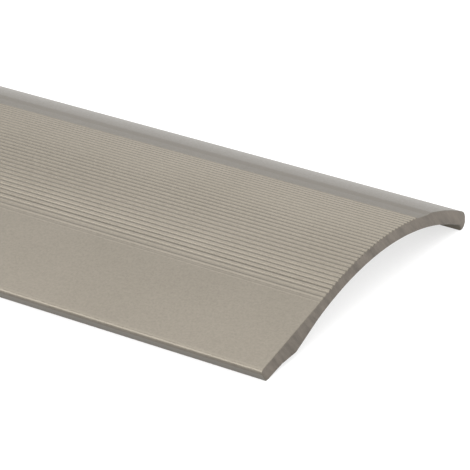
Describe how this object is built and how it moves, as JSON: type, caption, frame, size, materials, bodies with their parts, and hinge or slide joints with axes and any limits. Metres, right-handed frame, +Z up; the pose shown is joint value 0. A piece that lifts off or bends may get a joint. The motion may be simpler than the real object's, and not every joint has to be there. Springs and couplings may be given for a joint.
{
  "type": "threshold strip",
  "caption": "Low ribbed aluminium arch that bridges the joint between two floor coverings, with self-adhesive beads under both edges and peel-off liners.",
  "frame": {"origin": "centre of the plane the strip stands on, halfway along and across it", "axes": "+X along the strip, +Y across it from the low wing edge to the rounded nose, +Z up out of the floor"},
  "size_m": [0.93, 0.041, 0.0063],
  "materials": {
    "anodised_aluminium": "satin anodised, pale champagne, ribbed along its length",
    "adhesive": "soft off-white butyl adhesive, dull",
    "liner": "siliconised release paper, slight sheen"
  },
  "bodies": {
    "strip": {"cover_profile": "anodised_aluminium", "near_adhesive_bead": "adhesive", "far_adhesive_bead": "adhesive"},
    "near_liner": {"near_release_liner": "liner"},
    "far_liner": {"far_release_liner": "liner"}
  },
  "joints": [
    {"name": "near_liner_peel", "type": "slide", "parent": "strip", "child": "near_liner", "axis": [0, 0, -1], "range_m": [0, 0.03]},
    {"name": "far_liner_peel", "type": "slide", "parent": "strip", "child": "far_liner", "axis": [0, 0, -1], "range_m": [0, 0.03]}
  ]
}
